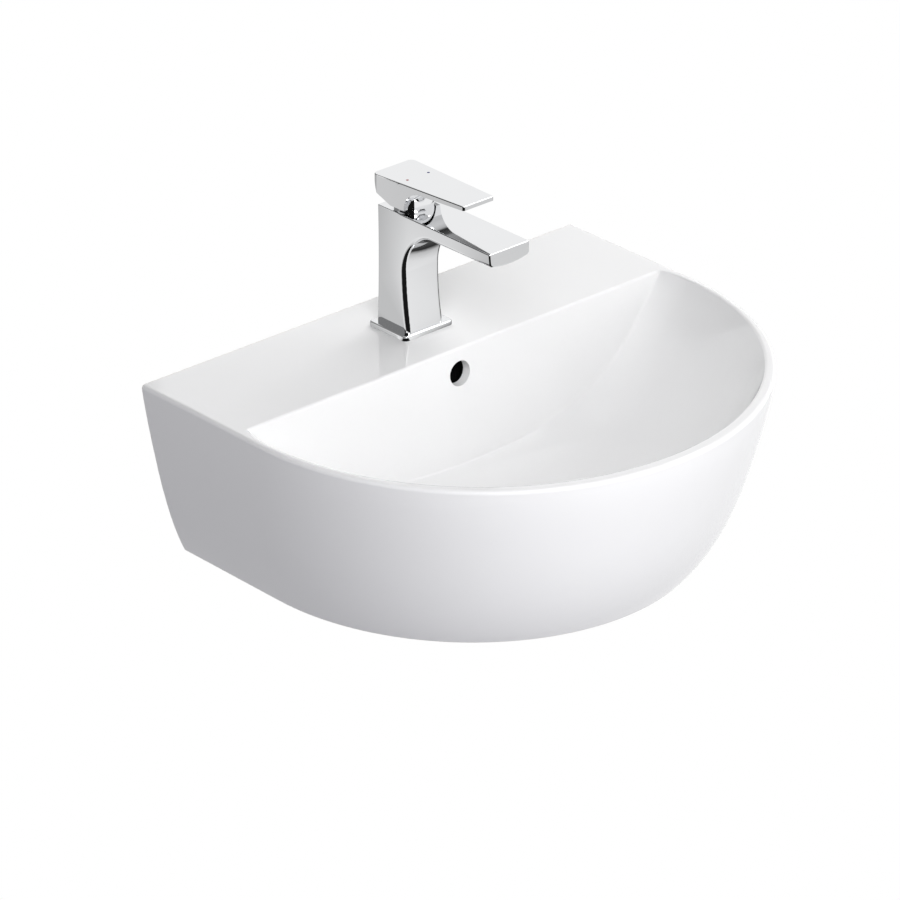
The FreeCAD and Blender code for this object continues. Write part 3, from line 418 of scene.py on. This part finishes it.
left, right = TALL_CARD_SPAN
low, high = [deck_top + z for z in TALL_CARD_RISE]
corners = [(x, TALL_CARD_Y, z) for x, z in ((left, low), (right, low), (right, high), (left, high))]
mirror_card("tall_card", corners, toned("tall_card_shade", TALL_CARD_TONE))
bright = toned("bright_card", SQUARE_TONE)
for i, (azimuth, elevation) in enumerate(SQUARE_DIRECTIONS):
    facing_square("bright_square_%d" % i, azimuth, elevation, bright)

# %% [markdown]
# ## Uneven finish, shared by all materials
#
# No real surface is the same all over. Glaze pools a little, chrome carries faint smudges and moulded plastic
# has grain. One node group makes all of these from noise on Object coordinates: a cloudy tint, a change of
# roughness and a fine height. Each material sets its own amounts, so the group is built once.

# %% Node group for an uneven finish
CLOUD_DETAIL = 3.0
GRAIN_DETAIL = 2.0
BLACK = (0, 0, 0, 1)
FINISH_INPUTS = {"Color": "Color", "Tint": "Float", "Cloud Scale": "Float", "Roughness": "Float",
                 "Smudge": "Float", "Grain Scale": "Float", "Stretch": "Vector"}
FINISH_OUTPUTS = {"Color": "Color", "Roughness": "Float", "Height": "Float"}


def noise(tree, vector, scale, detail):
    node = tree.nodes.new("ShaderNodeTexNoise")
    for name, value in {"Vector": vector, "Scale": scale, "Detail": detail}.items():
        link(tree, value, node.inputs[name])
    return node.outputs["Fac"]


def uneven_finish():
    group = bpy.data.node_groups.new("uneven_finish", "ShaderNodeTree")
    for way, sockets in (("INPUT", FINISH_INPUTS), ("OUTPUT", FINISH_OUTPUTS)):
        for name, kind in sockets.items():
            group.interface.new_socket(name, in_out=way, socket_type="NodeSocket" + kind)
    given = group.nodes.new("NodeGroupInput").outputs
    made = group.nodes.new("NodeGroupOutput").inputs
    stretched = calculated(group, VECTOR_MATH, "MULTIPLY", object_place(group), given["Stretch"])["Vector"]
    cloud = noise(group, stretched, given["Cloud Scale"], CLOUD_DETAIL)
    darker = calculated(group, MATH, "MULTIPLY", cloud, given["Tint"])[0]
    link(group, mixed(group, "RGBA", darker, given["Color"], BLACK), made["Color"])
    rough = calculated(group, MATH, "MULTIPLY_ADD", cloud, given["Smudge"], given["Roughness"])[0]
    link(group, rough, made["Roughness"])
    link(group, noise(group, stretched, given["Grain Scale"], GRAIN_DETAIL), made["Height"])
    return group


UNEVEN = uneven_finish()
print("group", UNEVEN.name, [s.name for s in UNEVEN.interface.items_tree])


def finish_material(name, color, rough, smudge, tint, cloud, grain, depth, metal=0.0, stretch=(1, 1, 1)):
    """A Principled material on the shared group, with the two nodes that a caller may add to."""
    material = bpy.data.materials.new(name)
    material.use_nodes = True
    tree = material.node_tree
    shader = tree.nodes["Principled BSDF"]
    shader.inputs["Metallic"].default_value = metal
    uneven = tree.nodes.new("ShaderNodeGroup")
    uneven.node_tree = UNEVEN
    values = {"Color": (*color, 1), "Tint": tint, "Cloud Scale": cloud, "Roughness": rough, "Smudge": smudge,
              "Grain Scale": grain, "Stretch": stretch}
    for socket, value in values.items():
        uneven.inputs[socket].default_value = value
    bump = tree.nodes.new("ShaderNodeBump")
    bump.inputs["Strength"].default_value = 1.0
    bump.inputs["Distance"].default_value = depth
    link(tree, uneven.outputs["Color"], shader.inputs["Base Color"])
    link(tree, uneven.outputs["Roughness"], shader.inputs["Roughness"])
    link(tree, uneven.outputs["Height"], bump.inputs["Height"])
    link(tree, bump.outputs["Normal"], shader.inputs["Normal"])
    print("material", name)
    return material, shader, uneven


# %% [markdown]
# ## Glaze
#
# Sanitary ware is fired clay under a thick white glass. The glass is smooth but never quite flat: it has a
# very shallow ripple a few millimetres long. Where the casting stood in the kiln and where it meets the wall
# it has no glaze, and the pale matt body shows. A mask from the Object coordinates marks those two faces. A
# pair of depths in a mask gives where it is 0 and where it is 1.

# %% Glaze
BISQUE = (0.74, 0.71, 0.66, 1)
BISQUE_ROUGH = 0.8
BARE_FROM, BARE_FULL = 0.0006, 0.0002
glaze, shader, uneven = finish_material(
    "glaze", color=(0.90, 0.90, 0.90), rough=0.05, smudge=0.03, tint=0.03, cloud=9.0, grain=140.0,
    depth=0.000006)
tree = glaze.node_tree
place = object_place(tree)
at = split(tree, place)
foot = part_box("basin")[0].z
at_wall = remap(tree, at["Y"], -BARE_FROM, -BARE_FULL)
at_foot = remap(tree, at["Z"], foot + BARE_FROM, foot + BARE_FULL)
bare = calculated(tree, MATH, "MAXIMUM", at_wall, at_foot)[0]
glazed = mixed(tree, "RGBA", bare, uneven.outputs["Color"], BISQUE)
rough = mixed(tree, "FLOAT", bare, uneven.outputs["Roughness"], BISQUE_ROUGH)
link(tree, rough, shader.inputs["Roughness"])
print("unglazed foot at", round(foot, 4))

# %% [markdown]
# ## Painted shade in the overflow way
#
# Behind the overflow hole a narrow way leads down to the drain. No glaze reaches it and little light gets in, so
# its shade is painted into the glaze's colour as near black. A second mask boxes it in: behind the bowl's leaning
# rear wall, between its two sides, below the deck.

# %% Painted shade in the overflow way
WAY_LEAN = math.radians(9.0)
# Near black painted shade for the recess behind the overflow hole.
WAY_PAINTED_SHADE = (0.012, 0.012, 0.012, 1)
WAY_EDGE_Y = -0.125
WAY_FRONT = (0.0113, 0.0119)
WAY_BACK = (0.0275, 0.0265)
WAY_SIDE = (0.0198, 0.0193)
WAY_ROOF = (0.0085, 0.0095)
WAY_FOOT = (0.062, 0.058)
edge = Vector((0.0, WAY_EDGE_Y, deck_top))
backwards = (0, math.cos(WAY_LEAN), -math.sin(WAY_LEAN))
from_edge = calculated(tree, VECTOR_MATH, "SUBTRACT", place, edge)["Vector"]
behind = calculated(tree, VECTOR_MATH, "DOT_PRODUCT", from_edge, backwards)["Value"]
sideways = calculated(tree, MATH, "ABSOLUTE", at["X"])[0]
painted_shade_mask = remap(tree, behind, *WAY_FRONT)
limits = [remap(tree, behind, *WAY_BACK), remap(tree, sideways, *WAY_SIDE)]
limits += [remap(tree, at["Z"], deck_top - start, deck_top - full) for start, full in (WAY_ROOF, WAY_FOOT)]
for limit in limits:
    painted_shade_mask = calculated(tree, MATH, "MULTIPLY", painted_shade_mask, limit)[0]
# Paints the overflow way's shade into the glaze's base colour.
link(tree, mixed(tree, "RGBA", painted_shade_mask, glazed, WAY_PAINTED_SHADE), shader.inputs["Base Color"])
print("dark way behind the overflow hole")

# %% [markdown]
# ## Chrome, hidden metals, rubber, plastics and discs
#
# The tap is cast brass, polished and plated. Chrome shows what stands round it, so its finish is almost all
# reflection: full metal, a cool light grey and a very low roughness with faint smudges. The fixings are
# zinc-plated steel with fine drawn lines, the turned pieces are bare brass, the seals are matt black rubber
# and the cartridge is moulded plastic round two lapped ceramic discs. They differ in colour, in grain and in
# how far the noise is stretched along the piece.

# %% Other finishes
UP_LINES = (6.0, 6.0, 0.4)
TURNED_LINES = (1, 1, 8)
FINISHES = {
    "chrome": dict(color=(0.83, 0.835, 0.845), rough=0.02, smudge=0.03, tint=0.02, cloud=40.0, grain=25.0,
                   depth=0.000002, metal=1.0),
    "steel": dict(color=(0.60, 0.61, 0.63), rough=0.26, smudge=0.18, tint=0.25, cloud=60.0, grain=500.0,
                  depth=0.00004, metal=1.0, stretch=UP_LINES),
    "brass": dict(color=(0.76, 0.58, 0.29), rough=0.22, smudge=0.16, tint=0.2, cloud=70.0, grain=420.0,
                  depth=0.00003, metal=1.0, stretch=TURNED_LINES),
    "rubber": dict(color=(0.035, 0.035, 0.038), rough=0.6, smudge=0.2, tint=0.4, cloud=120.0, grain=1500.0,
                   depth=0.00006),
    "white_plastic": dict(color=(0.84, 0.84, 0.82), rough=0.36, smudge=0.12, tint=0.08, cloud=60.0,
                          grain=1200.0, depth=0.00003),
    "grey_plastic": dict(color=(0.38, 0.40, 0.42), rough=0.38, smudge=0.14, tint=0.15, cloud=60.0,
                         grain=1200.0, depth=0.00003),
    "disc_ceramic": dict(color=(0.86, 0.83, 0.76), rough=0.12, smudge=0.1, tint=0.06, cloud=90.0,
                         grain=2000.0, depth=0.00001),
    "chrome_plastic": dict(color=(0.76, 0.77, 0.78), rough=0.10, smudge=0.06, tint=0.05, cloud=80.0,
                           grain=300.0, depth=0.00001, metal=1.0),
    "red_mark": dict(color=(0.30, 0.01, 0.015), rough=0.5, smudge=0.08, tint=0.12, cloud=500.0, grain=1500.0,
                     depth=0.00001),
    "blue_mark": dict(color=(0.015, 0.02, 0.14), rough=0.5, smudge=0.08, tint=0.12, cloud=500.0, grain=1500.0,
                      depth=0.00001),
}
finishes = {"glaze": glaze}
for name, values in FINISHES.items():
    finishes[name] = finish_material(name, **values)[0]

# %% [markdown]
# ## Screw threads
#
# The waste's tail and the tap's fixing stud are threaded below their nuts. The CAD keeps them as plain rods,
# because a cut thread makes a heavy solid and moves nothing. A thread is a small triangle swept along a
# spiral, so one Geometry Nodes tree makes both from a radius, a number of turns, a length and a depth. Each
# result is baked to a plain mesh that rides on the basin.

# %% Thread tree
TURN_POINTS = 40
TOOTH_SIDES = 3
THREAD_INPUTS = {"Radius": "Float", "Turns": "Float", "Length": "Float", "Depth": "Float", "Foot": "Vector",
                 "Finish": "Material"}
SPIRAL_INPUTS = {"Rotations": "Turns", "Start Radius": "Radius", "End Radius": "Radius", "Height": "Length"}


def thread_tree():
    tree = bpy.data.node_groups.new("screw_thread", "GeometryNodeTree")
    tree.interface.new_socket("Thread", in_out="OUTPUT", socket_type="NodeSocketGeometry")
    for name, kind in THREAD_INPUTS.items():
        tree.interface.new_socket(name, in_out="INPUT", socket_type="NodeSocket" + kind)
    given = tree.nodes.new("NodeGroupInput").outputs
    made = tree.nodes.new("NodeGroupOutput").inputs
    spiral = tree.nodes.new("GeometryNodeCurveSpiral")
    spiral.inputs["Resolution"].default_value = TURN_POINTS
    spiral.inputs["Reverse"].default_value = True
    for socket, name in SPIRAL_INPUTS.items():
        link(tree, given[name], spiral.inputs[socket])
    upright = tree.nodes.new("GeometryNodeSetCurveNormal")
    upright.mode = "Z_UP"
    tooth = tree.nodes.new("GeometryNodeCurvePrimitiveCircle")
    tooth.inputs["Resolution"].default_value = TOOTH_SIDES
    sweep = tree.nodes.new("GeometryNodeCurveToMesh")
    sweep.inputs["Fill Caps"].default_value = True
    placed = tree.nodes.new("GeometryNodeTransform")
    whole = tree.nodes.new("GeometryNodeRealizeInstances")
    finish = tree.nodes.new("GeometryNodeSetMaterial")
    link(tree, spiral.outputs["Curve"], upright.inputs["Curve"])
    link(tree, upright.outputs["Curve"], sweep.inputs["Curve"])
    link(tree, given["Depth"], tooth.inputs["Radius"])
    link(tree, tooth.outputs["Curve"], sweep.inputs["Profile Curve"])
    link(tree, sweep.outputs["Mesh"], placed.inputs["Geometry"])
    link(tree, given["Foot"], placed.inputs["Translation"])
    link(tree, placed.outputs["Geometry"], whole.inputs["Geometry"])
    link(tree, whole.outputs["Geometry"], finish.inputs["Geometry"])
    link(tree, given["Finish"], finish.inputs["Material"])
    link(tree, finish.outputs["Geometry"], made["Thread"])
    return tree


THREAD = thread_tree()

# %% Bake the two threads
TAIL_RADIUS, TAIL_PITCH, TAIL_TOOTH = 0.0205, 0.002309, 0.0006
STUD_RADIUS, STUD_PITCH, STUD_TOOTH = 0.004, 0.00125, 0.0003
NUT_CLEARANCE = 0.0005


def thread(name, radius, pitch, depth, rod_box, nut_box, slot):
    """A thread on an upright rod, from its foot to just below its nut."""
    piece = bpy.data.objects.new(name, bpy.data.meshes.new(name))
    scene.collection.objects.link(piece)
    modifier = piece.modifiers.new("thread", "NODES")
    modifier.node_group = THREAD
    axis = sum(rod_box, Vector()) / 2
    foot = Vector((axis.x, axis.y, rod_box[0].z + pitch / 2))
    length = nut_box[0].z - NUT_CLEARANCE - foot.z
    values = {"Radius": radius, "Turns": length / pitch, "Length": length, "Depth": depth, "Foot": foot,
              "Finish": finishes[slot]}
    for item in THREAD.interface.items_tree:
        if item.in_out == "INPUT":
            modifier[item.identifier] = values[item.name]
    evaluated = piece.evaluated_get(bpy.context.evaluated_depsgraph_get())
    piece.data = bpy.data.meshes.new_from_object(evaluated)
    piece.modifiers.remove(modifier)
    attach(piece, "fixed")
    print(name, len(piece.data.polygons), "faces")


thread("tail_thread", TAIL_RADIUS, TAIL_PITCH, TAIL_TOOTH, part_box("waste_body"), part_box("waste_locknut"),
       "chrome")
thread("stud_thread", STUD_RADIUS, STUD_PITCH, STUD_TOOTH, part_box("fixing_stud"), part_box("stud_nut"), "steel")

# %% [markdown]
# ## Finishes on the solids
#
# The record names a material slot for every CAD node, and each slot has a finish of the same name above.

# %% Give every CAD node its finish
for row in frame["record"]["subparts"]:
    node = nodes[row["node"]]
    node.data.materials.clear()
    node.data.materials.append(finishes[row["material_slot"]])
